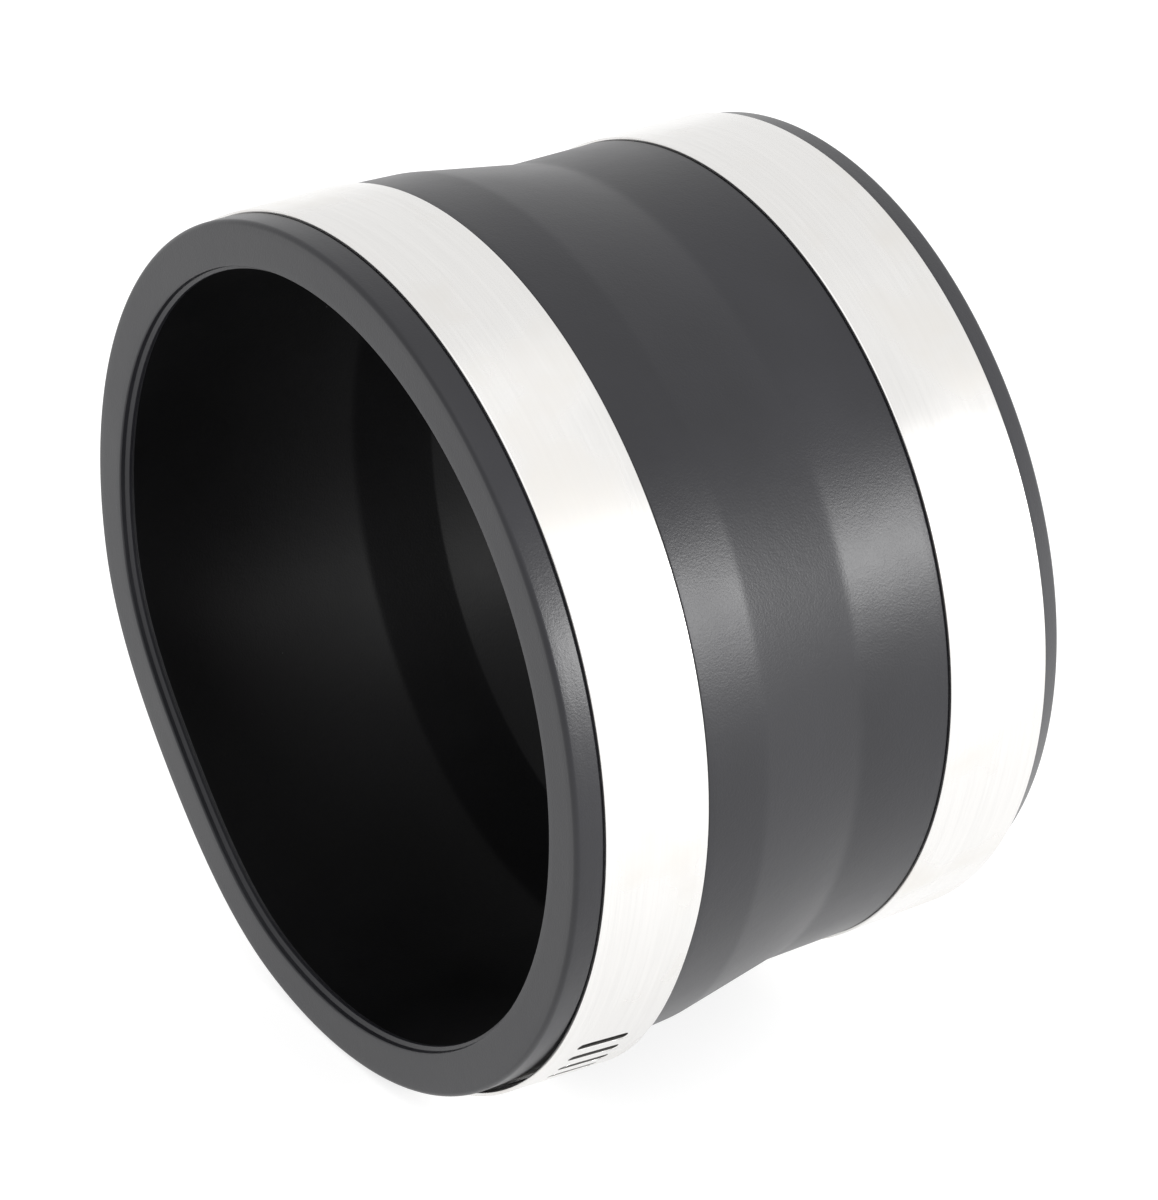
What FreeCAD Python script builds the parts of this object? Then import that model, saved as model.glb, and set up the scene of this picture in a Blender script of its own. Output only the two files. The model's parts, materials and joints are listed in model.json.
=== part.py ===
"""Stepped rubber pipe coupling with two worm-drive band clamps.

The pipe axis is X. The large socket opens at x = 0 towards -X, the small socket opens at the other end
towards +X, and the origin is the centre of the large mouth. +Z is up when the coupling lies on its side.
All sizes are millimetres.
"""
import FreeCAD, Part
import math
import os
from FreeCAD import Vector

# ---------------------------------------------------------------- driving sizes: sleeve
large_bore_radius = 67.0
small_bore_radius = 63.0
sleeve_wall = 8.0
large_end_length = 36.7      # large mouth to the start of the outer step
step_length = 21.1           # outer cone between the two sizes
small_end_length = 42.2      # end of the outer step to the small mouth
shoulder_drop = 0.5          # radius lost between the large band and the outer step
step_wall = 5.7              # rubber left under the outer step where the bore's step starts
bore_step_lag = 3.6          # the bore's step ends this far behind the outer one
large_lip_length = 5.4       # rubber in front of the large band
small_lip_length = 5.0       # rubber behind the small band
seat_depth = 0.3             # how far each band seat is let into the rubber
mouth_chamfer = 0.8          # inner edge of each mouth

# The large clamp's saddle presses a shallow flat into the large mouth.
mouth_dent = 2.6             # depth of the flat at the mouth, outside
mouth_dent_inside = 3.2      # and inside
dent_half_angle = 33.0       # degrees each side of the clamp

# ---------------------------------------------------------------- driving sizes: clamps
strap_width = 19.4
strap_thickness = 0.7
strap_fit = 0.03             # radial gap between the rubber and the strap
strap_side_gap = 0.15        # each side of the strap in its seat
layer_gap = 0.05             # between the strap's two layers where it overlaps itself
overlap_length = 31.0        # inner end of the strap, from the clamp's middle
ramp_length = 5.5            # where the strap climbs over its inner end
tail_length = 45.0           # free end, from the clamp's middle
tail_corner_radius = 4.8
large_slotted_length = 131.5 # slots start this far before the large clamp's middle
small_slotted_length = 104.0 # and before the small one's
slot_width = 1.8
slot_length = 10.2
clamp_direction = -41.3      # degrees from +Y towards +Z, as seen along the axis from +X

housing_length = 24.0
housing_sheet = 1.0
saddle_sheet = 0.9
saddle_gap = 0.1             # around the saddle in the rubber
cheek_gap = 0.2              # strap edge to the saddle's cheek
brim_gap = 0.12              # above the strap's outer layer
tab_length = 4.0             # clinch tabs that hold the housing on the saddle
tab_inset = 3.0              # from the housing's ends
tab_gap = 0.6                # end of each folded tab to the housing's wall

worm_radius = 5.4
worm_root_radius = 4.3
worm_pitch = 4.5             # also the spacing of the strap's slots
thread_base_share = 0.36     # half width of the thread at its root, in pitches
thread_crest_share = 0.16    # and at its crest
thread_bury = 0.3            # thread sunk into the core, so that the two join
worm_clearance = 0.15        # crest to strap
worm_housing_gap = 0.35      # crest to housing
worm_end_gap = 0.4           # thread end to housing end wall
journal_radius = 3.2
journal_clearance = 0.06     # running fit in the end walls
flange_radius = 6.0
flange_thickness = 1.2
flange_gap = 0.3             # flange to housing
hex_across_flats = 8.0
hex_height = 4.4
hex_chamfer = 0.6
driver_slot_width = 1.3
driver_slot_depth = 1.8
tip_gap = 0.2                # rear journal stops short of the wall's outer face

# ---------------------------------------------------------------- sizes that follow
sleeve_length = large_end_length + step_length + small_end_length
large_outer_radius = large_bore_radius + sleeve_wall
small_outer_radius = small_bore_radius + sleeve_wall
step_start = large_end_length
step_end = large_end_length + step_length
shoulder_radius = large_outer_radius - shoulder_drop
step_slope = (shoulder_radius - small_outer_radius) / step_length
bore_step_start = step_start + (shoulder_radius - large_bore_radius - step_wall) / step_slope
bore_step_end = step_end + bore_step_lag
large_band_start = large_lip_length
small_band_start = sleeve_length - small_lip_length - strap_width
edge_ease = 0.25             # axial length of the eased seat walls
far = 2.0 * (large_outer_radius + small_outer_radius)
worm_helix_angle = math.degrees(math.atan(worm_pitch / (math.pi * (worm_radius + worm_root_radius))))


# ---------------------------------------------------------------- sections with a pressed flat
def dent_share(phi):
    """Share of the full dent at phi degrees from the clamp: a raised cosine that ends at the half angle."""
    if abs(phi) >= dent_half_angle:
        return 0.0
    return 0.5 * (1.0 + math.cos(math.pi * phi / dent_half_angle))


def on_section(x, radius, dent, phi):
    """Point of the section at phi degrees from +Z, turning about +X."""
    reach = radius - dent * dent_share(phi)
    angle = math.radians(phi)
    return Vector(x, -reach * math.sin(angle), reach * math.cos(angle))


def section_wire(x, radius, dent):
    """Closed section: one round arc, and a curve through the pressed flat that leaves the arc smoothly."""
    first = on_section(x, radius, 0.0, dent_half_angle)
    last = on_section(x, radius, 0.0, -dent_half_angle)
    opposite = on_section(x, radius, 0.0, 180.0)
    round_edge = Part.Arc(first, opposite, last).toShape()
    if dent < 1e-6:
        flat_edge = Part.Arc(last, on_section(x, radius, 0.0, 0.0), first).toShape()
        return Part.Wire([round_edge, flat_edge])
    steps = 12
    points = [
        on_section(x, radius, dent, dent_half_angle * (2.0 * i / steps - 1.0)) for i in range(steps + 1)
    ]
    angle = math.radians(dent_half_angle)
    flat_curve = Part.BSplineCurve()
    flat_curve.interpolate(
        Points=points,
        InitialTangent=Vector(0, -math.cos(angle), math.sin(angle)) * radius,
        FinalTangent=Vector(0, -math.cos(angle), -math.sin(angle)) * radius,
    )
    return Part.Wire([round_edge, flat_curve.toShape()])


def skin(stations):
    """Solid through sections given as (x, radius, dent), straight from each to the next."""
    wires = [section_wire(x, radius, dent) for x, radius, dent in stations]
    return Part.makeLoft(wires, True, True)


def ring(x, width, radius, dent, inner, outer):
    """Band of constant section between two offsets from a dented seat."""
    wires = [section_wire(x, radius + offset, dent) for offset in (outer, inner)]
    return Part.makeFace(wires, "Part::FaceMakerBullseye").extrude(Vector(width, 0, 0))


def wedge(x, width, start, end):
    """Sector from start to end degrees, less than half a turn, wide enough to cut any ring."""
    middle = 0.5 * (start + end)
    corners = [Vector(x, 0, 0)]
    corners += [on_section(x, far, 0.0, phi) for phi in (start, middle, end)]
    corners.append(corners[0])
    return Part.Face(Part.makePolygon(corners)).extrude(Vector(width, 0, 0))


def bar(x, width, corners):
    """Prism along X of a polygon given as (y, z) corners."""
    points = [Vector(x, y, z) for y, z in corners]
    points.append(points[0])
    return Part.Face(Part.makePolygon(points)).extrude(Vector(width, 0, 0))


def block(x, y, z):
    """Box from three (low, high) pairs."""
    return Part.makeBox(x[1] - x[0], y[1] - y[0], z[1] - z[0], Vector(x[0], y[0], z[0]))


# ---------------------------------------------------------------- where each clamp sits
class Clamp:
    """Places that one clamp's pieces share, with the clamp at the top (+Z) before it is turned."""

    def __init__(self, name, band_start, outer_radius, dent, slotted_length):
        self.name = name
        self.slotted_length = slotted_length
        self.start = band_start
        self.middle = band_start + 0.5 * strap_width
        self.seat_radius = outer_radius - seat_depth
        self.dent = dent
        self.layer_one = (strap_fit, strap_fit + strap_thickness)
        second = self.layer_one[1] + layer_gap
        self.layer_two = (second, second + strap_thickness)
        crown = self.seat_radius - dent
        self.strap_top = crown + self.layer_two[1]
        self.brim_bottom = self.strap_top + brim_gap
        self.worm_height = self.strap_top + worm_clearance + worm_radius
        self.saddle_outer = -layer_gap + strap_fit
        self.saddle_inner = self.saddle_outer - saddle_sheet
        self.half_housing = 0.5 * housing_length
        self.housing_side = worm_radius + worm_housing_gap + housing_sheet
        self.cheek_inside = 0.5 * strap_width + cheek_gap
        self.cheek_outside = self.cheek_inside + saddle_sheet

    def degrees(self, length):
        """Angle that a length along the strap covers."""
        return math.degrees(length / self.seat_radius)


def outer_dent(x):
    """Depth of the pressed flat outside: full at the large mouth and gone at the end of the step."""
    return max(0.0, mouth_dent * (1.0 - x / step_end))


def inner_dent(x):
    """Depth of the pressed flat in the bore: gone where the bore's step starts."""
    return max(0.0, mouth_dent_inside * (1.0 - x / bore_step_start))


large_dent = outer_dent(large_band_start + 0.5 * strap_width)
large = Clamp("large", large_band_start, large_outer_radius, large_dent, large_slotted_length)
small = Clamp("small", small_band_start, small_outer_radius, 0.0, small_slotted_length)


# ---------------------------------------------------------------- rubber sleeve
def seat_stations(clamp, outside):
    """Eased walls and floor of one band seat; outside gives the radius and dent beside it."""
    low = clamp.start - strap_side_gap
    high = clamp.start + strap_width + strap_side_gap
    return [
        (low - edge_ease, *outside(low - edge_ease)),
        (low, clamp.seat_radius, clamp.dent),
        (high, clamp.seat_radius, clamp.dent),
        (high + edge_ease, *outside(high + edge_ease)),
    ]


def saddle_pocket(clamp):
    """Room that the saddle presses into the rubber."""
    width = 2.0 * (clamp.cheek_outside + saddle_gap)
    reach = clamp.degrees(clamp.half_housing + saddle_gap)
    floor = clamp.saddle_inner - saddle_gap
    pocket = ring(
        clamp.middle - 0.5 * width, width, clamp.seat_radius, clamp.dent, floor, worm_radius
    )
    return pocket.common(wedge(clamp.middle - 0.5 * width, width, -reach, reach))


def rubber_sleeve():
    """One moulding: two sockets joined by a cone, with a seat for each band."""
    outer = [(0.0, large_outer_radius, outer_dent(0.0))]
    outer += seat_stations(large, lambda x: (large_outer_radius, outer_dent(x)))
    outer.append((step_start, shoulder_radius, outer_dent(step_start)))
    outer.append((step_end, small_outer_radius, 0.0))
    outer += seat_stations(small, lambda x: (small_outer_radius, 0.0))
    outer.append((sleeve_length, small_outer_radius, 0.0))
    large_bore = [
        (0.0, large_bore_radius + mouth_chamfer, inner_dent(0.0)),
        (mouth_chamfer, large_bore_radius, inner_dent(mouth_chamfer)),
        (bore_step_start, large_bore_radius, 0.0),
        (bore_step_end, small_bore_radius, 0.0),
    ]
    sleeve = skin(outer).cut(skin(large_bore))
    along = Vector(1, 0, 0)
    small_bore_length = sleeve_length - bore_step_end
    small_bore = Part.makeCylinder(
        small_bore_radius, small_bore_length, Vector(bore_step_end, 0, 0), along
    )
    small_mouth = Part.makeCone(
        small_bore_radius,
        small_bore_radius + mouth_chamfer,
        mouth_chamfer,
        Vector(sleeve_length - mouth_chamfer, 0, 0),
        along,
    )
    sleeve = sleeve.cut(small_bore).cut(small_mouth)
    for clamp in (large, small):
        sleeve = sleeve.cut(saddle_pocket(clamp))
    return sleeve


# ---------------------------------------------------------------- strap
def slot_cutter(clamp, place):
    """One round-ended slot across the strap, slanted with the thread, at a distance along the strap."""
    low = clamp.seat_radius - clamp.dent
    height = worm_radius + clamp.dent
    straight = 0.5 * (slot_length - slot_width)
    cutter = block(
        (-straight, straight), (-0.5 * slot_width, 0.5 * slot_width), (low, low + height)
    )
    for side in (-1.0, 1.0):
        end = Part.makeCylinder(0.5 * slot_width, height, Vector(side * straight, 0, low))
        cutter = cutter.fuse(end)
    cutter = cutter.removeSplitter()
    cutter.rotate(Vector(0, 0, 0), Vector(0, 0, 1), -worm_helix_angle)
    cutter.rotate(Vector(0, 0, 0), Vector(1, 0, 0), clamp.degrees(place))
    cutter.translate(Vector(clamp.middle, 0, 0))
    return cutter


def tail_corners(clamp):
    """Two cutters that round the corners of the strap's free end."""
    radius = tail_corner_radius
    low = clamp.seat_radius - clamp.dent
    height = worm_radius + clamp.dent
    cutters = []
    for side in (-1.0, 1.0):
        centre = side * (0.5 * strap_width - radius)
        corner = block(
            sorted((centre, centre + 2.0 * side * radius)), (-radius, radius), (low, low + height)
        )
        corner = corner.cut(Part.makeCylinder(radius, height, Vector(centre, radius, low)))
        corner.rotate(Vector(0, 0, 0), Vector(1, 0, 0), clamp.degrees(tail_length))
        corner.translate(Vector(clamp.middle, 0, 0))
        cutters.append(corner)
    return cutters


def strap(clamp):
    """One strip: from its inner end round the sleeve, up over that end, and on under the worm as a tail."""
    args = (clamp.start, strap_width, clamp.seat_radius, clamp.dent)
    overlap = clamp.degrees(overlap_length)
    foot = clamp.degrees(overlap_length + ramp_length)
    room = wedge(clamp.start, strap_width, -foot, -overlap)
    inner_layer = ring(*args, *clamp.layer_one).cut(room)
    outer_layer = ring(*args, *clamp.layer_two)
    outer_layer = outer_layer.common(
        wedge(clamp.start, strap_width, -overlap, clamp.degrees(tail_length))
    )
    corners = [(-overlap, offset) for offset in clamp.layer_two]
    corners += [(-foot, offset) for offset in reversed(clamp.layer_one)]
    points = [on_section(0.0, clamp.seat_radius + offset, clamp.dent, phi) for phi, offset in corners]
    climb = bar(clamp.start, strap_width, [(p.y, p.z) for p in points])
    count = int((clamp.slotted_length + tail_length - 2.0 * slot_width) / worm_pitch) + 1
    places = [i * worm_pitch - clamp.slotted_length for i in range(count)]
    ramp_places = (-overlap_length - ramp_length - slot_width, -overlap_length + slot_width)
    before = [slot_cutter(clamp, place) for place in places if place < ramp_places[0]]
    after = [slot_cutter(clamp, place) for place in places if place > ramp_places[1]]
    inner_layer = inner_layer.cut(before)
    outer_layer = outer_layer.cut(after + tail_corners(clamp))
    return inner_layer.fuse(climb).fuse(outer_layer)


# ---------------------------------------------------------------- saddle and housing
def tab_spans(clamp):
    """The (low, high) stretches along Y of the clinch tabs on one side."""
    edge = clamp.half_housing - tab_inset
    return [(-edge, -edge + tab_length), (edge - tab_length, edge)]


def saddle(clamp):
    """Plate under the strap, with a cheek up each side and tabs folded over the housing's brim."""
    reach = clamp.degrees(clamp.half_housing)
    low = clamp.middle - clamp.cheek_outside
    width = 2.0 * clamp.cheek_outside
    span = wedge(low, width, -reach, reach)
    args = (low, width, clamp.seat_radius, clamp.dent)
    piece = ring(*args, clamp.saddle_inner, clamp.saddle_outer).common(span)
    cheeks = ring(*args, clamp.saddle_inner, worm_radius).common(span)
    level = block((low, low + width), (-far, far), (0.0, clamp.brim_bottom))
    cheeks = cheeks.common(level)
    channel = block(
        (clamp.middle - clamp.cheek_inside, clamp.middle + clamp.cheek_inside),
        (-far, far),
        (0.0, far),
    )
    piece = piece.fuse(cheeks.cut(channel))
    top = clamp.brim_bottom + housing_sheet
    for side in (-1.0, 1.0):
        outside = clamp.middle + side * clamp.cheek_outside
        inside = clamp.middle + side * clamp.cheek_inside
        folded = clamp.middle + side * (clamp.housing_side + tab_gap)
        for span_y in tab_spans(clamp):
            upright = block(sorted((inside, outside)), span_y, (clamp.brim_bottom, top + saddle_sheet))
            lip = block(sorted((folded, inside)), span_y, (top, top + saddle_sheet))
            piece = piece.fuse(upright).fuse(lip)
    return piece


def housing(clamp):
    """Arched cover over the worm, with a brim on the saddle's cheeks and an end wall at each end."""
    half = clamp.half_housing
    outer = clamp.housing_side
    inner = outer - housing_sheet
    bottom = clamp.brim_bottom
    height = clamp.worm_height
    start = Vector(clamp.middle, -half, height)
    along = Vector(0, 1, 0)
    body = Part.makeCylinder(outer, housing_length, start, along)
    body = body.fuse(
        block((clamp.middle - outer, clamp.middle + outer), (-half, half), (bottom, height))
    )
    body = body.common(block((-far, far), (-far, far), (bottom, far)))
    brim = block(
        (clamp.middle - clamp.cheek_outside, clamp.middle + clamp.cheek_outside),
        (-half, half),
        (bottom, bottom + housing_sheet),
    )
    body = body.fuse(brim)
    room_start = -half + housing_sheet
    room_length = housing_length - 2.0 * housing_sheet
    room = Part.makeCylinder(
        inner, room_length, Vector(clamp.middle, room_start, height), along
    )
    room = room.fuse(
        block(
            (clamp.middle - inner, clamp.middle + inner),
            (room_start, room_start + room_length),
            (0.0, height),
        )
    )
    body = body.cut(room)
    journal = Part.makeCylinder(
        journal_radius + journal_clearance, housing_length, start, along
    )
    body = body.cut(journal)
    for side in (-1.0, 1.0):
        inside = clamp.middle + side * clamp.cheek_inside
        outside = clamp.middle + side * far
        for span_y in tab_spans(clamp):
            body = body.cut(block(sorted((inside, outside)), span_y, (bottom, height)))
    return body.removeSplitter()


# ---------------------------------------------------------------- worm screw
def thread(start, length):
    """Helical ridge along +Z from start, with a trapezoid section that reaches from the root to the crest."""
    turns_length = length - worm_pitch
    root = worm_root_radius - thread_bury
    helix = Part.makeHelix(worm_pitch, turns_length, worm_root_radius)
    base = thread_base_share * worm_pitch
    crest = thread_crest_share * worm_pitch
    corners = [
        Vector(root, 0, -base),
        Vector(worm_radius, 0, -crest),
        Vector(worm_radius, 0, crest),
        Vector(root, 0, base),
    ]
    profile = Part.makePolygon(corners + corners[:1])
    ridge = Part.Wire(helix.Edges).makePipeShell([profile], True, True)
    ridge.translate(Vector(0, 0, start + 0.5 * worm_pitch))
    return ridge


def screw(clamp):
    """Worm with a journal at each end, a washer flange and a slotted hexagon head."""
    half = clamp.half_housing
    thread_low = -half + housing_sheet + worm_end_gap
    thread_length = housing_length - 2.0 * (housing_sheet + worm_end_gap)
    flange_low = half + flange_gap
    hex_low = flange_low + flange_thickness
    tip = -half + tip_gap
    body = Part.makeCylinder(worm_root_radius, thread_length, Vector(0, 0, thread_low))
    body = body.fuse(Part.makeCylinder(journal_radius, flange_low - tip, Vector(0, 0, tip)))
    body = body.fuse(thread(thread_low, thread_length))
    body = body.fuse(Part.makeCylinder(flange_radius, flange_thickness, Vector(0, 0, flange_low)))
    corner = 0.5 * hex_across_flats / math.cos(math.pi / 6.0)
    points = [
        Vector(corner * math.cos(k * math.pi / 3.0), corner * math.sin(k * math.pi / 3.0), hex_low)
        for k in range(7)
    ]
    head = Part.Face(Part.makePolygon(points)).extrude(Vector(0, 0, hex_height))
    top_radius = corner - hex_chamfer
    crown = Part.makeCone(top_radius + hex_height, top_radius, hex_height, Vector(0, 0, hex_low))
    head = head.common(crown)
    top = hex_low + hex_height
    slot = block(
        (-corner, corner),
        (-0.5 * driver_slot_width, 0.5 * driver_slot_width),
        (top - driver_slot_depth, top + driver_slot_depth),
    )
    body = body.fuse(head).cut(slot)
    body.rotate(Vector(0, 0, 0), Vector(1, 0, 0), 90.0)
    body.translate(Vector(clamp.middle, 0, clamp.worm_height))
    return body


# ---------------------------------------------------------------- build and write
def turned(shape):
    """The same shape with its clamp turned from the top to its real direction round the sleeve."""
    shape = shape.copy()
    shape.rotate(Vector(0, 0, 0), Vector(1, 0, 0), clamp_direction - 90.0)
    return shape


def write(name, shape):
    """Writes one node after a check that it is one sound solid."""
    if len(shape.Solids) != 1 or not shape.isValid():
        raise ValueError(f"{name}: {len(shape.Solids)} solids, valid {shape.isValid()}")
    shape.Solids[0].exportStep(f"parts/{name}.step")
    print(name, round(shape.Volume, 1), shape.BoundBox)


os.makedirs("parts", exist_ok=True)
write("rubber_sleeve", turned(rubber_sleeve()))
for clamp in (large, small):
    write(f"{clamp.name}_strap", turned(strap(clamp)))
    write(f"{clamp.name}_saddle", turned(saddle(clamp)))
    write(f"{clamp.name}_housing", turned(housing(clamp)))
    write(f"{clamp.name}_screw", turned(screw(clamp)))
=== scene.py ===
"""Stepped rubber pipe coupling with two worm-drive band clamps: finished surfaces around the CAD frame.

Metres throughout. The pipe axis is X, the large mouth lies in the plane x = 0, and +Z is up.
"""
import bmesh
import bpy
import json
import math
import numpy as np
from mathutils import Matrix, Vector


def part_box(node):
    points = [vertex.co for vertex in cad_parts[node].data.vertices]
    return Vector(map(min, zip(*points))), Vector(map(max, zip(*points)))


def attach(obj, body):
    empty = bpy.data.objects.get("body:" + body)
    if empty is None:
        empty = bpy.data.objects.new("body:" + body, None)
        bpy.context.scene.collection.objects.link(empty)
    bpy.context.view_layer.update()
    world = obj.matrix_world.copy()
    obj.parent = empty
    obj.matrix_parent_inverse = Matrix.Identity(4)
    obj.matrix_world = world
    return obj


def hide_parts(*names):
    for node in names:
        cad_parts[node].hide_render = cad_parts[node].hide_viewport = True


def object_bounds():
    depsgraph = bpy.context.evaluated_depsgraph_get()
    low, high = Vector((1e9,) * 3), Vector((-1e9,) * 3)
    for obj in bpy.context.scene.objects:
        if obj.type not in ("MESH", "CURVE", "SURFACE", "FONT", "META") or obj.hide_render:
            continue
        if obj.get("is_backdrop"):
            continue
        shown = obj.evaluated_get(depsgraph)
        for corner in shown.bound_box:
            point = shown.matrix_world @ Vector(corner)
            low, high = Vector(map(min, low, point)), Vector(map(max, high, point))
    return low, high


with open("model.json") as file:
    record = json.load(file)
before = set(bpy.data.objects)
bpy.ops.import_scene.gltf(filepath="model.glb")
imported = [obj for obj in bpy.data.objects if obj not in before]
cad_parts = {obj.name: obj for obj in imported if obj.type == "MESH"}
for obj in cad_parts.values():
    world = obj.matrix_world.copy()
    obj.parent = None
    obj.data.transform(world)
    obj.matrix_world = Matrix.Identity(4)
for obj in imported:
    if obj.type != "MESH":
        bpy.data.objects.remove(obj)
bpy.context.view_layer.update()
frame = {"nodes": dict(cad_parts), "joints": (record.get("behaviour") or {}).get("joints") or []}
MM = 0.001

# ---------------------------------------------------------------- sizes of the sleeve
sleeve_low, sleeve_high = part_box("rubber_sleeve")
SLEEVE_LENGTH = sleeve_high.x - sleeve_low.x
LARGE_OUTSIDE = sleeve_high.z
WALL = 8.0 * MM
LARGE_BORE = LARGE_OUTSIDE - WALL
BORE_DIFFERENCE = 4.0 * MM
SMALL_BORE = LARGE_BORE - BORE_DIFFERENCE
SMALL_OUTSIDE = SMALL_BORE + WALL
STEP_START = 36.7 * MM
STEP_END = 57.8 * MM
BORE_STEP_START = 47.55 * MM
BORE_STEP_LAG = 3.6 * MM
BORE_STEP_END = STEP_END + BORE_STEP_LAG
SHOULDER_DROP = 0.5 * MM
SEAT_DEPTH = 0.3 * MM
SEAT_SIDE_GAP = 0.15 * MM
MOUTH_DENT = 2.6 * MM
MOUTH_DENT_INSIDE = 3.2 * MM
DENT_HALF_ANGLE = math.radians(33.0)
MOUTH_ROUNDING = 0.9 * MM
SMALL_MOUTH_INNER_ROUNDING = 0.7 * MM
SEAT_EASE = 0.25 * MM
SEAT_TOP_ROUNDING = 0.2 * MM
SEAT_FOOT_ROUNDING = 0.05 * MM
STEP_ROUNDING = 14.0 * MM
BORE_STEP_ROUNDING = (2.0 * MM, 6.0 * MM)
BEAD_PLACE = 1.6 * MM
BEAD_HEIGHT = 0.45 * MM
BEAD_ROUNDING = 0.2 * MM
LEAD_IN = 0.3 * MM
SLEEVE_POINT_SPACING = 1.6 * MM
SLEEVE_TURNS = 360
# Where the bore's painted shade lies: how far in from each mouth it starts, and the share of the wall's
# thickness under which a point counts as bore.
BORE_SHADE_INSET = 3.0 * MM
BORE_SHADE_SHARE = 0.12

# ---------------------------------------------------------------- sizes of the clamps
STRAP_THICKNESS = 0.7 * MM
STRAP_FIT = 0.03 * MM
LAYER_GAP = 0.05 * MM
OVERLAP_LENGTH = 31.0 * MM
RAMP_LENGTH = 5.5 * MM
TAIL_LENGTH = 45.0 * MM
SLOT_SPACING = 4.5 * MM
SLOTTED_LENGTH = {"large": 131.5 * MM, "small": 104.0 * MM}
SLOT_WIDTH = 1.8 * MM
SLOT_LENGTH = 10.2 * MM
SLOT_SLANT = math.radians(8.4)
TAIL_CORNER = 4.8 * MM
TAIL_MARGIN = 0.5 * MM
STRAP_EDGE = 0.18 * MM
STRAP_COLUMNS = 25
STRAP_COLUMN_REACH = math.radians(77.0)
STRAP_ROW_SPACING = 1.1 * MM
STAND_OFF = 1.65 * MM
STAND_OFF_LEAN = 0.28
STAND_OFF_MIDDLE = math.radians(-85.0)
STAND_OFF_HALF_ANGLE = math.radians(35.5)
REAR_LIP_DRAW = 2.7 * MM
REAR_LIP_SIDE = math.radians(-122.0)
SADDLE_EDGE = 0.12 * MM
HOUSING_EDGE = 0.15 * MM
SCREW_EDGE = 0.1 * MM
WELD_DISTANCE = 0.002 * MM

# ---------------------------------------------------------------- camera and lights
CAMERA_LENS = 153.4
CAMERA_SENSOR = 36.0
CAMERA_TARGET = (0.0474, -0.0054, 0.0)
CAMERA_DISTANCE = 0.8619
CAMERA_AZIMUTH = -33.96
CAMERA_ELEVATION = 28.59
FLOOR_HALF = 6.0
FLOOR_TONE = 0.4
FLOOR_GLOW = 0.74


def outer_dent(x):
    """Depth of the pressed flat outside.

    It is full at the mouth and falls in a straight line to none at the step's end.
    """
    return MOUTH_DENT * np.clip(1.0 - x / STEP_END, 0.0, None)


def inner_dent(x):
    """Depth of the pressed flat in the bore: full at the mouth, none where the bore's step starts."""
    return MOUTH_DENT_INSIDE * np.clip(1.0 - x / BORE_STEP_START, 0.0, None)


def dent_share(phi):
    """Share of the dent at phi from the clamp: half of one plus the cosine of pi phi over the half angle."""
    wrapped = (phi + math.pi) % (2.0 * math.pi) - math.pi
    share = 0.5 * (1.0 + np.cos(math.pi * wrapped / DENT_HALF_ANGLE))
    return np.where(np.abs(wrapped) < DENT_HALF_ANGLE, share, 0.0)


class Clamp:
    """Where one clamp sits, read from the frame: its strap's box and its screw's joint."""

    def __init__(self, name):
        self.name = name
        low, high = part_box(f"{name}_strap")
        joint = next(j for j in frame["joints"] if j["name"] == f"{name}_screw_turn")
        self.start, self.end = low.x, high.x
        self.middle = 0.5 * (low.x + high.x)
        self.width = high.x - low.x
        _x, worm_y, worm_z = joint["pos_m"]
        self.direction = math.atan2(worm_z, worm_y)
        outside = LARGE_OUTSIDE if name == "large" else SMALL_OUTSIDE
        self.seat = outside - SEAT_DEPTH
        self.dent = float(outer_dent(self.middle))


large = Clamp("large")
small = Clamp("small")


def around(x, radius, phi, direction=large.direction):
    """Points at a radius from the pipe axis, phi round it from the clamps' direction."""
    angle = direction + phi
    return np.stack([x + 0.0 * angle, radius * np.cos(angle), radius * np.sin(angle)], axis=-1)


# ---------------------------------------------------------------- meshes from grids
def mesh_piece(name, points, faces, material, slot, body, *nodes):
    """Object from points and faces, smooth, riding on a body and standing for CAD nodes."""
    mesh = bpy.data.meshes.new(name)
    mesh.from_pydata(np.asarray(points).reshape(-1, 3).tolist(), [], [tuple(f) for f in faces])
    mesh.validate()
    mesh.shade_smooth()
    mesh.materials.append(material)
    piece = bpy.data.objects.new(name, mesh)
    bpy.context.scene.collection.objects.link(piece)
    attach(piece, body)
    if nodes:
        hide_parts(*nodes)
    return piece


def grid_faces(rows, columns, wrap_rows=False, wrap_columns=False, offset=0):
    """Quads of a grid numbered row by row, joined back to its start where it wraps."""
    i = np.arange(rows if wrap_rows else rows - 1)[:, None]
    j = np.arange(columns if wrap_columns else columns - 1)[None, :]
    i2, j2 = (i + 1) % rows, (j + 1) % columns
    quads = np.stack([i * columns + j, i * columns + j2, i2 * columns + j2, i2 * columns + j], axis=-1)
    return quads.reshape(-1, 4) + offset


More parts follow.
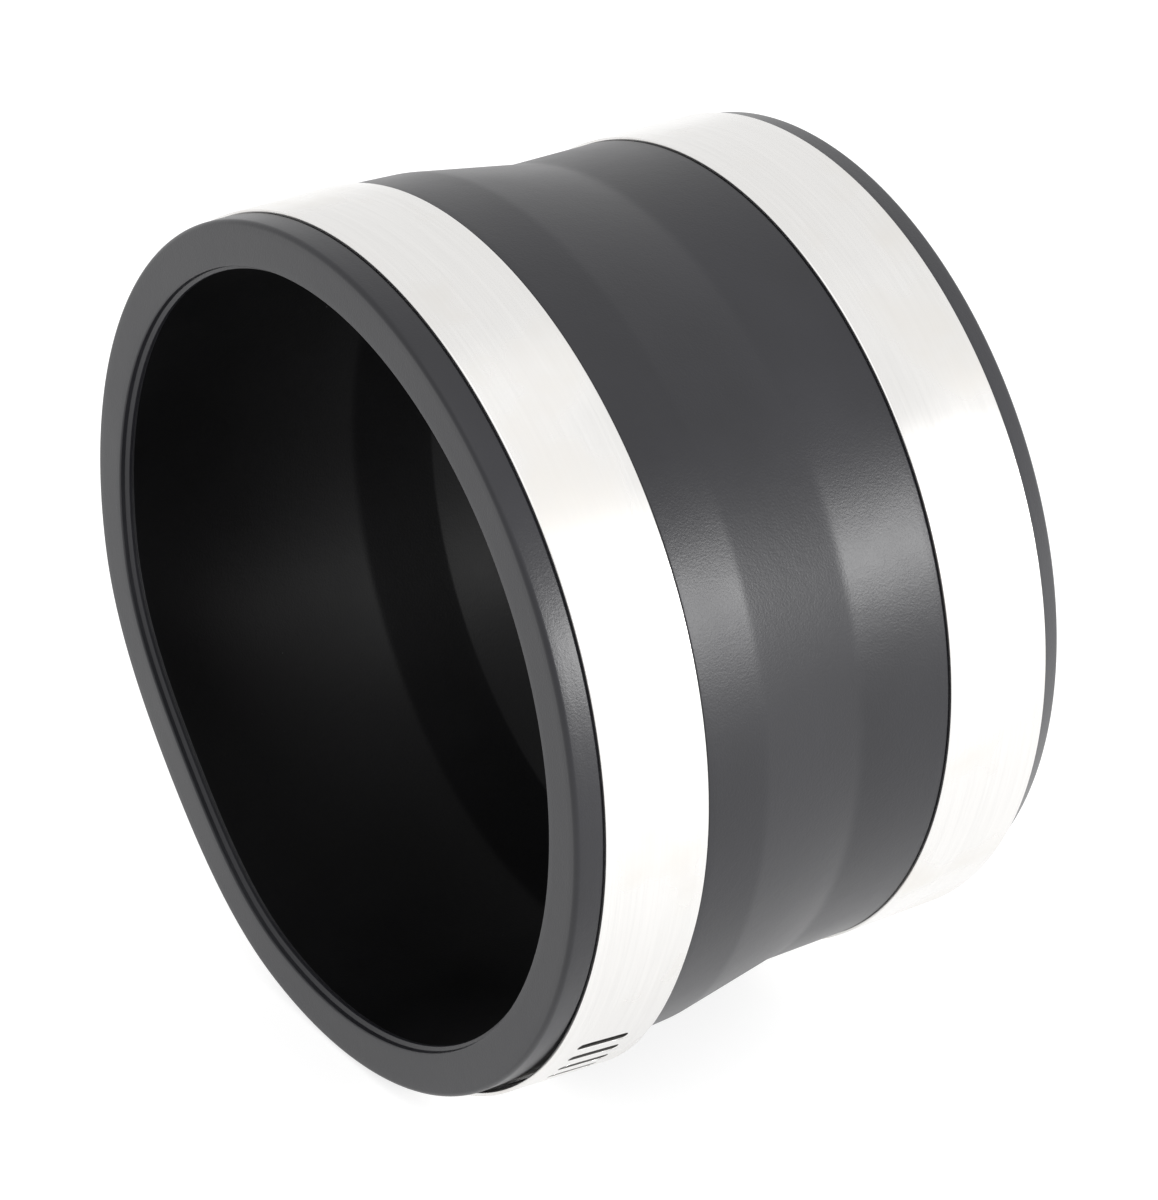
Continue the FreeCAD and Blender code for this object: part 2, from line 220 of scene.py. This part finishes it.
def eased(corners, radii, step):
    """Closed outline with each corner rounded by its radius, and points no further apart than step.

    The arc's centre is on the corner's bisector, and the arc meets both sides at radius over the tangent
    of half the corner's angle.
    """
    corners = np.asarray(corners, float)
    count = len(corners)
    runs = []
    for k in range(count):
        here, before, after = corners[k], corners[k - 1], corners[(k + 1) % count]
        a, b = before - here, after - here
        a, b = a / np.linalg.norm(a), b / np.linalg.norm(b)
        half = 0.5 * math.acos(np.clip(a @ b, -1.0, 1.0))
        if radii[k] <= 0.0 or half > 0.499 * math.pi:
            runs.append(here[None, :])
            continue
        reach = radii[k] / math.tan(half)
        bisector = (a + b) / np.linalg.norm(a + b)
        centre = here + bisector * radii[k] / math.sin(half)
        first, last = here + a * reach - centre, here + b * reach - centre
        turn = math.atan2(first[0] * last[1] - first[1] * last[0], first @ last)
        pieces = max(4, int(abs(turn) / math.radians(12.0)))
        angles = np.linspace(0.0, turn, pieces + 1)[:, None]
        across = np.array([-first[1], first[0]])
        runs.append(centre + np.cos(angles) * first + np.sin(angles) * across)
    outline = np.concatenate(runs)
    ends = np.roll(outline, -1, axis=0)
    lengths = np.linalg.norm(ends - outline, axis=1)
    filled = [
        start + (end - start) * np.arange(pieces)[:, None] / pieces
        for start, end, pieces in zip(outline, ends, np.maximum(1, np.ceil(lengths / step)).astype(int))
    ]
    return np.concatenate(filled)


# ---------------------------------------------------------------- materials
def new_material(name):
    """Empty node material with its output and a Principled shader joined to it."""
    material = bpy.data.materials.new(name)
    material.use_nodes = True
    tree = material.node_tree
    tree.nodes.clear()
    output = tree.nodes.new("ShaderNodeOutputMaterial")
    shader = tree.nodes.new("ShaderNodeBsdfPrincipled")
    tree.links.new(shader.outputs["BSDF"], output.inputs["Surface"])
    return material, tree, shader


def node(tree, kind, settings=None, inputs=None):
    """Adds a node, sets its properties and its sockets, and joins sockets given as outputs."""
    made = tree.nodes.new(kind)
    for key, value in (settings or {}).items():
        setattr(made, key, value)
    for key, value in (inputs or {}).items():
        if isinstance(value, bpy.types.NodeSocket):
            tree.links.new(value, made.inputs[key])
        else:
            made.inputs[key].default_value = value
    return made


def noise(tree, vector, scale, detail=4.0, roughness=0.5):
    """Noise of a given scale on the object's own coordinates."""
    made = node(
        tree,
        "ShaderNodeTexNoise",
        inputs={"Vector": vector, "Scale": scale, "Detail": detail, "Roughness": roughness},
    )
    return made.outputs["Fac"]


def remap(tree, value, low, high, to_low, to_high):
    """Straight-line change of range, held at its ends."""
    made = node(
        tree,
        "ShaderNodeMapRange",
        {"clamp": True},
        {"Value": value, "From Min": low, "From Max": high, "To Min": to_low, "To Max": to_high},
    )
    return made.outputs["Result"]


def blend_colour(tree, factor, first, second):
    """Colour that goes from first to second with the factor."""
    made = node(tree, "ShaderNodeMix", {"data_type": "RGBA"}, {0: factor, 6: first, 7: second})
    return made.outputs[2]


def rubber_material(name, low, high, gloss, specular):
    """Satin moulded black rubber: fine matt grain, faint bloom, and rare uneven specks of dust."""
    material, tree, shader = new_material(name)
    place = node(tree, "ShaderNodeTexCoord").outputs["Object"]
    bloom = noise(tree, place, 28.0, 5.0, 0.55)
    grain = noise(tree, place, 2600.0, 2.0, 0.6)
    orange_peel = noise(tree, place, 420.0, 3.0, 0.5)
    cells = node(tree, "ShaderNodeTexVoronoi", inputs={"Vector": place, "Scale": 420.0})
    specks = cells.outputs["Distance"]
    scatter = remap(tree, noise(tree, place, 90.0, 2.0, 0.5), 0.56, 0.72, 0.0, 0.075)
    smaller = node(tree, "ShaderNodeMath", {"operation": "SUBTRACT"}, {0: scatter, 1: specks}).outputs[0]
    dust = remap(tree, smaller, 0.0, 0.03, 0.0, 1.0)
    base = blend_colour(tree, remap(tree, bloom, 0.3, 0.7, 0.0, 1.0), (*low, 1.0), (*high, 1.0))
    colour = blend_colour(tree, dust, base, (0.07, 0.07, 0.07, 1.0))
    tree.links.new(colour, shader.inputs["Base Color"])
    rough = remap(tree, bloom, 0.25, 0.75, gloss - 0.05, gloss + 0.05)
    tree.links.new(rough, shader.inputs["Roughness"])
    shader.inputs["Specular IOR Level"].default_value = specular
    fine = node(
        tree, "ShaderNodeBump", inputs={"Strength": 0.25, "Distance": 0.00012, "Height": grain}
    )
    wide = node(
        tree,
        "ShaderNodeBump",
        inputs={
            "Strength": 0.1,
            "Distance": 0.0002,
            "Height": orange_peel,
            "Normal": fine.outputs["Normal"],
        },
    )
    tree.links.new(wide.outputs["Normal"], shader.inputs["Normal"])
    return material


def steel_material(name, colour, roughness, streak):
    """Stainless steel with fine rolling streaks round the pipe axis and soft clouding."""
    material, tree, shader = new_material(name)
    place = node(tree, "ShaderNodeTexCoord").outputs["Object"]
    stretched = node(tree, "ShaderNodeMapping", inputs={"Vector": place, "Scale": (1.0, 0.02, 0.02)})
    lines = noise(tree, stretched.outputs["Vector"], 1800.0, 3.0, 0.6)
    clouds = noise(tree, place, 60.0, 3.0, 0.5)
    darker = tuple(0.95 * c for c in colour) + (1.0,)
    base = blend_colour(tree, remap(tree, lines, 0.3, 0.7, 0.0, 1.0), darker, (*colour, 1.0))
    stain = (0.93 * colour[0], 0.915 * colour[1], 0.89 * colour[2], 1.0)
    base = blend_colour(tree, remap(tree, clouds, 0.5, 0.68, 0.0, 0.8), base, stain)
    tree.links.new(base, shader.inputs["Base Color"])
    shader.inputs["Metallic"].default_value = 1.0
    rough = remap(tree, clouds, 0.3, 0.7, roughness - 0.04, roughness + 0.05)
    tree.links.new(rough, shader.inputs["Roughness"])
    bump = node(
        tree, "ShaderNodeBump", inputs={"Strength": streak, "Distance": 0.00003, "Height": lines}
    )
    tree.links.new(bump.outputs["Normal"], shader.inputs["Normal"])
    return material


RUBBER = rubber_material("moulded_rubber", (0.008, 0.008, 0.0105), (0.013, 0.013, 0.0165), 0.37, 0.43)
# Darker, less glossy copy of the same rubber for the bore: painted shade standing for the shadow inside the
# sleeve.
BORE_SHADE_RUBBER = rubber_material(
    "bore_rubber_painted_shade", (0.0012, 0.0012, 0.0014), (0.0032, 0.0032, 0.0036), 0.5, 0.09
)
STRAP_STEEL = steel_material("strap_steel", (0.80, 0.79, 0.775), 0.26, 0.03)
PRESSED_STEEL = steel_material("pressed_steel", (0.70, 0.70, 0.69), 0.28, 0.2)
# Near-black steel for the slots' lower walls: painted shade that makes the slots look dark.
SLOT_SHADE_STEEL = steel_material("slot_wall_painted_shade", (0.075, 0.073, 0.07), 0.6, 0.3)
SCREW_STEEL = steel_material("screw_steel", (0.60, 0.60, 0.59), 0.3, 0.1)


# ---------------------------------------------------------------- rubber sleeve
def sleeve_outline():
    """Outline of the sleeve's wall as (x, radius): outside from mouth to mouth, then back in the bore.

    The bore ends at the large mouth in a low bead and a short lead-in.
    """
    corners, radii = [(0.0, LARGE_OUTSIDE)], [MOUTH_ROUNDING]
    for clamp, outside in ((large, LARGE_OUTSIDE), (small, SMALL_OUTSIDE)):
        low, high = clamp.start - SEAT_SIDE_GAP, clamp.end + SEAT_SIDE_GAP
        corners += [(low - SEAT_EASE, outside), (low, clamp.seat)]
        corners += [(high, clamp.seat), (high + SEAT_EASE, outside)]
        radii += [SEAT_TOP_ROUNDING, SEAT_FOOT_ROUNDING, SEAT_FOOT_ROUNDING, SEAT_TOP_ROUNDING]
        if clamp is large:
            corners += [(STEP_START, LARGE_OUTSIDE - SHOULDER_DROP), (STEP_END, SMALL_OUTSIDE)]
            radii += [STEP_ROUNDING, STEP_ROUNDING]
    corners += [(SLEEVE_LENGTH, SMALL_OUTSIDE), (SLEEVE_LENGTH, SMALL_BORE)]
    radii += [MOUTH_ROUNDING, SMALL_MOUTH_INNER_ROUNDING]
    corners += [(BORE_STEP_END, SMALL_BORE), (BORE_STEP_START, LARGE_BORE)]
    radii += BORE_STEP_ROUNDING
    corners += [
        (BEAD_PLACE + 0.9 * MM, LARGE_BORE),
        (BEAD_PLACE + 0.4 * MM, LARGE_BORE - BEAD_HEIGHT),
        (BEAD_PLACE - 0.2 * MM, LARGE_BORE - BEAD_HEIGHT),
        (BEAD_PLACE - 0.6 * MM, LARGE_BORE + 0.2 * MM),
    ]
    radii += [LEAD_IN, BEAD_ROUNDING, BEAD_ROUNDING, BEAD_ROUNDING]
    corners.append((0.0, LARGE_BORE + LEAD_IN))
    radii.append(LEAD_IN)
    return eased(corners, radii, SLEEVE_POINT_SPACING)


def rubber_sleeve():
    """The wall's outline turned about the pipe axis, with the dent taken off each radius by its share.

    Across the wall the dent's depth goes in a straight line from the bore's value to the outside's.
    Behind the small band the outside is drawn in by a straight line times half of one plus the cosine
    of the angle from the side where the rubber curls in most.
    """
    outline = sleeve_outline()
    x, radius = outline[:, :1], outline[:, 1:]
    bore = np.interp(x, [BORE_STEP_START, BORE_STEP_END], [LARGE_BORE, SMALL_BORE])
    share = np.clip((radius - bore) / WALL, 0.0, 1.0)
    depth = share * outer_dent(x) + (1.0 - share) * inner_dent(x)
    in_seat = (x > large.start - SEAT_SIDE_GAP - 1e-6) & (x < large.end + SEAT_SIDE_GAP + 1e-6)
    in_seat &= share > 0.5
    depth = np.where(in_seat, large.dent, depth)
    phi = np.linspace(0.0, 2.0 * math.pi, SLEEVE_TURNS, endpoint=False)[None, :]
    behind = np.clip((x - small.end) / (SLEEVE_LENGTH - small.end), 0.0, 1.0) * share
    drawn_in = REAR_LIP_DRAW * behind * 0.5 * (1.0 + np.cos(phi - REAR_LIP_SIDE))
    points = around(x, radius - depth * dent_share(phi) - drawn_in, phi)
    faces = grid_faces(len(outline), SLEEVE_TURNS, True, True)
    piece = mesh_piece("sleeve", points, faces, RUBBER, "rubber", "coupling", "rubber_sleeve")
    # The bore's rows away from both mouths take the darker rubber, which is painted shade for the shadowed
    # inside.
    piece.data.materials.append(BORE_SHADE_RUBBER)
    shaded_bore = (share[:, 0] < BORE_SHADE_SHARE) & (x[:, 0] > BORE_SHADE_INSET)
    shaded_bore &= x[:, 0] < SLEEVE_LENGTH - BORE_SHADE_INSET
    rows = np.repeat(shaded_bore, SLEEVE_TURNS).astype(np.int32)
    piece.data.polygons.foreach_set("material_index", rows)
    return piece


# ---------------------------------------------------------------- straps
def strap_columns(clamp):
    """Places across the strap: half the width times the sine of evenly spaced angles.

    They come closer near the edges. The angles stop short of a right angle, so that the outermost gap
    stays wider than the rounded edge.
    """
    angles = np.linspace(-STRAP_COLUMN_REACH, STRAP_COLUMN_REACH, STRAP_COLUMNS)
    return 0.5 * clamp.width * np.sin(angles) / math.sin(STRAP_COLUMN_REACH)


def tail_tip(clamp, across):
    """How far the strap reaches at a place across it: its corners are quarter circles."""
    beyond = np.clip(np.abs(across) - (0.5 * clamp.width - TAIL_CORNER), 0.0, TAIL_CORNER)
    end = 2.0 * math.pi * clamp.seat + TAIL_LENGTH
    return end - TAIL_CORNER + np.sqrt(TAIL_CORNER ** 2 - beyond ** 2)


def plain_stretch(first, last, columns):
    """Flat grid between two distances along the strap, which may differ from column to column."""
    first, last = first + 0.0 * columns, last + 0.0 * columns
    rows = max(2, int(math.ceil((last - first).max() / STRAP_ROW_SPACING)) + 1)
    share = np.linspace(0.0, 1.0, rows)[:, None]
    along = first + share * (last - first)
    points = np.stack([along, columns + 0.0 * along], axis=-1).reshape(-1, 2)
    return points, grid_faces(rows, len(columns))[:, ::-1]


def slotted_stretch(middle, clamp, columns):
    """One slot's cell: rings in straight lines from the cell's rectangle to the slanted slot.

    The slot's two straight sides take the columns' places, shortened to its straight length, and its
    ends are half circles.
    """
    half_cell, half_slot = 0.5 * SLOT_SPACING, 0.5 * SLOT_WIDTH
    half_width, straight = 0.5 * clamp.width, 0.5 * (SLOT_LENGTH - SLOT_WIDTH)
    turn = np.linspace(0.0, math.pi, 7)[:-1]
    across = columns[:-1]
    limit = tail_tip(clamp, across) - TAIL_MARGIN - middle
    far = np.minimum(half_cell, limit)
    edge = np.linspace(-half_cell, far[0], 7)
    cell = [
        np.stack([edge[:-1], 0.0 * edge[:-1] - half_width], axis=-1),
        np.stack([far, across], axis=-1),
        np.stack([edge[:0:-1], 0.0 * edge[1:] + half_width], axis=-1),
        np.stack([0.0 * across - half_cell, -across], axis=-1),
    ]
    shorter = across * straight / half_width
    slot = [
        np.stack([-half_slot * np.cos(turn), -straight - half_slot * np.sin(turn)], axis=-1),
        np.stack([0.0 * shorter + half_slot, shorter], axis=-1),
        np.stack([half_slot * np.cos(turn), straight + half_slot * np.sin(turn)], axis=-1),
        np.stack([0.0 * shorter - half_slot, -shorter], axis=-1),
    ]
    cell, slot = np.concatenate(cell), np.concatenate(slot)
    c, d = math.cos(SLOT_SLANT), math.sin(SLOT_SLANT)
    slot = np.stack([slot[:, 0] * c + slot[:, 1] * d, slot[:, 1] * c - slot[:, 0] * d], axis=-1)
    share = np.array([0.0, 0.4, 0.75, 1.0])[:, None, None]
    rings = cell * (1.0 - share) + slot * share + np.array([middle, 0.0])
    return rings.reshape(-1, 2), grid_faces(len(share), len(cell), wrap_columns=True)


def flat_strap(clamp):
    """The strip laid flat, as places (along, across) and quads, with its slots and rounded tail."""
    columns = strap_columns(clamp)
    lap = 2.0 * math.pi * clamp.seat
    slotted = SLOTTED_LENGTH[clamp.name]
    count = int((slotted + TAIL_LENGTH - 2.0 * SLOT_WIDTH) / SLOT_SPACING) + 1
    places = [i * SLOT_SPACING - slotted for i in range(count)]
    climb = (-OVERLAP_LENGTH - RAMP_LENGTH - SLOT_WIDTH, -OVERLAP_LENGTH + SLOT_WIDTH)
    cursor = -OVERLAP_LENGTH
    stretches = []
    for place in places:
        if climb[0] <= place <= climb[1]:
            continue
        low = lap + place - 0.5 * SLOT_SPACING
        if low - cursor > 0.01 * MM:
            stretches.append(plain_stretch(cursor, low, columns))
        stretches.append(slotted_stretch(lap + place, clamp, columns))
        cursor = low + SLOT_SPACING
    tip = tail_tip(clamp, columns)
    stretches.append(plain_stretch(np.minimum(cursor, tip - TAIL_MARGIN), tip, columns))
    starts = np.cumsum([0] + [len(points) for points, _faces in stretches])
    points = np.concatenate([points for points, _faces in stretches])
    faces = np.concatenate([faces + start for (_points, faces), start in zip(stretches, starts)])
    keys = np.round(points / WELD_DISTANCE)
    _keys, first, back = np.unique(keys, axis=0, return_index=True, return_inverse=True)
    return points[first], back.reshape(-1)[faces]


def rim_edges(faces):
    """Edges that only one face uses, in that face's direction."""
    edges = np.stack([faces, np.roll(faces, -1, axis=1)], axis=-1).reshape(-1, 2)
    edges = edges[edges[:, 0] != edges[:, 1]]
    size = faces.max() + 1
    forward, backward = edges[:, 0] * size + edges[:, 1], edges[:, 1] * size + edges[:, 0]
    return edges[~np.isin(forward, backward)]


def strap_radius(clamp, along, across):
    """Radius of the strap's inner face at a place on it.

    It is the seat's radius less the dent, plus a smooth rise of one thickness and a gap over the climb.
    On the large clamp the strap springs clear of the rubber below: there half of one plus a cosine times
    the stand-off is added, and the stand-off grows in a straight line from the strap's front edge to its
    back one.
    """
    phi = along / clamp.seat
    foot = 2.0 * math.pi * clamp.seat - OVERLAP_LENGTH - RAMP_LENGTH
    share = np.clip((along - foot) / RAMP_LENGTH, 0.0, 1.0)
    rise = share * share * (3.0 - 2.0 * share) * (STRAP_THICKNESS + LAYER_GAP)
    radius = clamp.seat + STRAP_FIT + rise - clamp.dent * dent_share(phi)
    if clamp is large:
        away = (phi - STAND_OFF_MIDDLE + math.pi) % (2.0 * math.pi) - math.pi
        wave = 0.5 * (1.0 + np.cos(math.pi * away / STAND_OFF_HALF_ANGLE))
        lean = 1.0 + STAND_OFF_LEAN * across / (0.5 * clamp.width)
        radius = radius + STAND_OFF * lean * np.where(np.abs(away) < STAND_OFF_HALF_ANGLE, wave, 0.0)
    return radius


def strap(clamp):
    """The flat strip given its thickness with quarter-circle edges, then wound round the sleeve."""
    flat, faces = flat_strap(clamp)
    edges = rim_edges(faces)
    step = flat[edges[:, 1]] - flat[edges[:, 0]]
    outwards = np.stack([step[:, 1], -step[:, 0]], axis=-1)
    outwards /= np.linalg.norm(outwards, axis=1)[:, None]
    normal = np.zeros_like(flat)
    np.add.at(normal, edges[:, 0], outwards)
    np.add.at(normal, edges[:, 1], outwards)
    rim = np.unique(edges)
    normal[rim] /= np.maximum(np.linalg.norm(normal[rim], axis=1)[:, None], 1e-9)
    inset = flat - STRAP_EDGE * normal
    turn = np.linspace(0.0, 0.5 * math.pi, 4)
    back_in = STRAP_EDGE * (1.0 - np.sin(turn))
    height = STRAP_THICKNESS - STRAP_EDGE * (1.0 - np.cos(turn))
    back_in = np.concatenate([back_in[1:], back_in[::-1][:-1]])
    height = np.concatenate([height[1:], (STRAP_THICKNESS - height)[::-1][:-1]])
    sides = flat[rim][None] - back_in[:, None, None] * normal[rim][None]
    count, ring = len(flat), len(rim)
    places = np.concatenate([inset, sides.reshape(-1, 2), inset])
    heights = np.concatenate([np.full(count, STRAP_THICKNESS), np.repeat(height, ring), np.zeros(count)])
    last = count + ring * len(height)
    order = np.zeros(count, int)
    order[rim] = np.arange(ring)
    start, end = edges[:, 0], edges[:, 1]
    levels = [(start, end)]
    for k in range(len(height)):
        levels.append((count + k * ring + order[start], count + k * ring + order[end]))
    levels.append((last + start, last + end))
    walls = [
        np.stack([a0, a1, b1, b0], axis=-1) for (a0, b0), (a1, b1) in zip(levels[:-1], levels[1:])
    ]
    everything = np.concatenate([faces, faces[:, ::-1] + last] + walls)
    phi = places[:, 0] / clamp.seat
    radius = strap_radius(clamp, places[:, 0], places[:, 1]) + heights
    points = around(clamp.middle + places[:, 1], radius, phi)
    name, node_name = f"{clamp.name}_band", f"{clamp.name}_strap"
    piece = mesh_piece(name, points, everything, STRAP_STEEL, "strap_steel", "coupling", node_name)
    # The lower walls inside the slots take the near-black steel, painted shade in the slots.
    piece.data.materials.append(SLOT_SHADE_STEEL)
    far_end = 2.0 * math.pi * clamp.seat + TAIL_LENGTH - 2.0 * SLOT_WIDTH
    in_slot = np.abs(flat[edges, 1]).max(axis=1) < 0.5 * SLOT_LENGTH + 0.01 * MM
    in_slot &= (flat[start, 0] > -OVERLAP_LENGTH + SLOT_WIDTH) & (flat[start, 0] < far_end)
    slot_shade_faces = np.zeros(len(everything), np.int32)
    first_wall = 2 * len(faces)
    for level in range(2, len(walls)):
        at = first_wall + level * len(edges)
        slot_shade_faces[at:at + len(edges)] = in_slot
    piece.data.polygons.foreach_set("material_index", slot_shade_faces)
    return piece


# ---------------------------------------------------------------- pressed and turned pieces
def softened(name, material, body, width):
    """Merged copy of a CAD node with its edges rounded over a small width."""
    mesh = frame["nodes"][name].data.copy()
    mesh.name = f"{name}_finished"
    work = bmesh.new()
    work.from_mesh(mesh)
    bmesh.ops.remove_doubles(work, verts=work.verts, dist=WELD_DISTANCE)
    bmesh.ops.dissolve_limit(
        work,
        angle_limit=math.radians(0.6),
        use_dissolve_boundaries=False,
        verts=work.verts,
        edges=work.edges,
    )
    work.to_mesh(mesh)
    work.free()
    mesh.shade_smooth()
    mesh.materials.clear()
    mesh.materials.append(material)
    piece = bpy.data.objects.new(mesh.name, mesh)
    bpy.context.scene.collection.objects.link(piece)
    bevel = piece.modifiers.new("edges", "BEVEL")
    bevel.width = width
    bevel.segments = 2
    bevel.limit_method = "ANGLE"
    bevel.angle_limit = math.radians(35.0)
    bevel.harden_normals = True
    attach(piece, body)
    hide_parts(name)
    return piece


rubber_sleeve()
for clamp in (large, small):
    strap(clamp)
    softened(f"{clamp.name}_saddle", PRESSED_STEEL, "coupling", SADDLE_EDGE)
    softened(f"{clamp.name}_housing", PRESSED_STEEL, "coupling", HOUSING_EDGE)
    softened(f"{clamp.name}_screw", SCREW_STEEL, f"{clamp.name}_screw", SCREW_EDGE)


# ---------------------------------------------------------------- studio
def floor():
    """Plain pale floor just under the coupling."""
    low, _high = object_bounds()
    mesh = bpy.data.meshes.new("floor")
    signs = ((-1, -1), (1, -1), (1, 1), (-1, 1))
    corners = [(x * FLOOR_HALF, y * FLOOR_HALF, low.z) for x, y in signs]
    mesh.from_pydata(corners, [], [(0, 1, 2, 3)])
    material, _tree, shader = new_material("pale_floor")
    shader.inputs["Base Color"].default_value = (FLOOR_TONE, FLOOR_TONE, FLOOR_TONE, 1.0)
    shader.inputs["Roughness"].default_value = 0.9
    shader.inputs["Emission Color"].default_value = (1.0, 1.0, 1.0, 1.0)
    shader.inputs["Emission Strength"].default_value = FLOOR_GLOW
    mesh.materials.append(material)
    piece = bpy.data.objects.new("floor", mesh)
    bpy.context.scene.collection.objects.link(piece)
    piece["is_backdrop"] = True


def towards(azimuth, elevation):
    """Unit vector from the object towards an azimuth and elevation in degrees; azimuth 0 is -Y."""
    a, e = math.radians(azimuth), math.radians(elevation)
    return np.array([math.sin(a) * math.cos(e), -math.cos(a) * math.cos(e), math.sin(e)])


def aim(thing, place, target):
    """Puts a camera or light at a place and turns its -Z to the target with its X level."""
    thing.location = Vector(place)
    thing.rotation_euler = (Vector(target) - Vector(place)).to_track_quat("-Z", "Y").to_euler()


def softbox(name, azimuth, elevation, distance, width, height, power):
    """Rectangular area light aimed at the coupling's middle."""
    data = bpy.data.lights.new(name, "AREA")
    data.shape = "RECTANGLE"
    data.size, data.size_y = width, height
    data.energy = power
    light = bpy.data.objects.new(name, data)
    bpy.context.scene.collection.objects.link(light)
    target = np.array([0.5 * SLEEVE_LENGTH, 0.0, 0.0])
    aim(light, target + distance * towards(azimuth, elevation), target)


def studio():
    """White surroundings, a soft key and a wide side light at the right, a soft top light, the camera."""
    world = bpy.data.worlds.new("studio")
    bpy.context.scene.world = world
    world.use_nodes = True
    background = world.node_tree.nodes["Background"]
    background.inputs["Color"].default_value = (1.0, 1.0, 1.0, 1.0)
    background.inputs["Strength"].default_value = 1.0
    softbox("key", 31.0, 15.0, 1.1, 0.26, 0.32, 7.5)
    softbox("side", 20.0, -4.0, 1.6, 1.2, 0.5, 1.0)
    softbox("top", -10.0, 70.0, 1.4, 1.4, 1.4, 3.0)
    floor()
    data = bpy.data.cameras.new("camera")
    data.lens = CAMERA_LENS
    data.sensor_width = CAMERA_SENSOR
    camera = bpy.data.objects.new("camera", data)
    bpy.context.scene.collection.objects.link(camera)
    target = np.array(CAMERA_TARGET)
    aim(camera, target + CAMERA_DISTANCE * towards(CAMERA_AZIMUTH, CAMERA_ELEVATION), target)
    bpy.context.scene.camera = camera
    bpy.context.scene.view_settings.view_transform = "Standard"


studio()
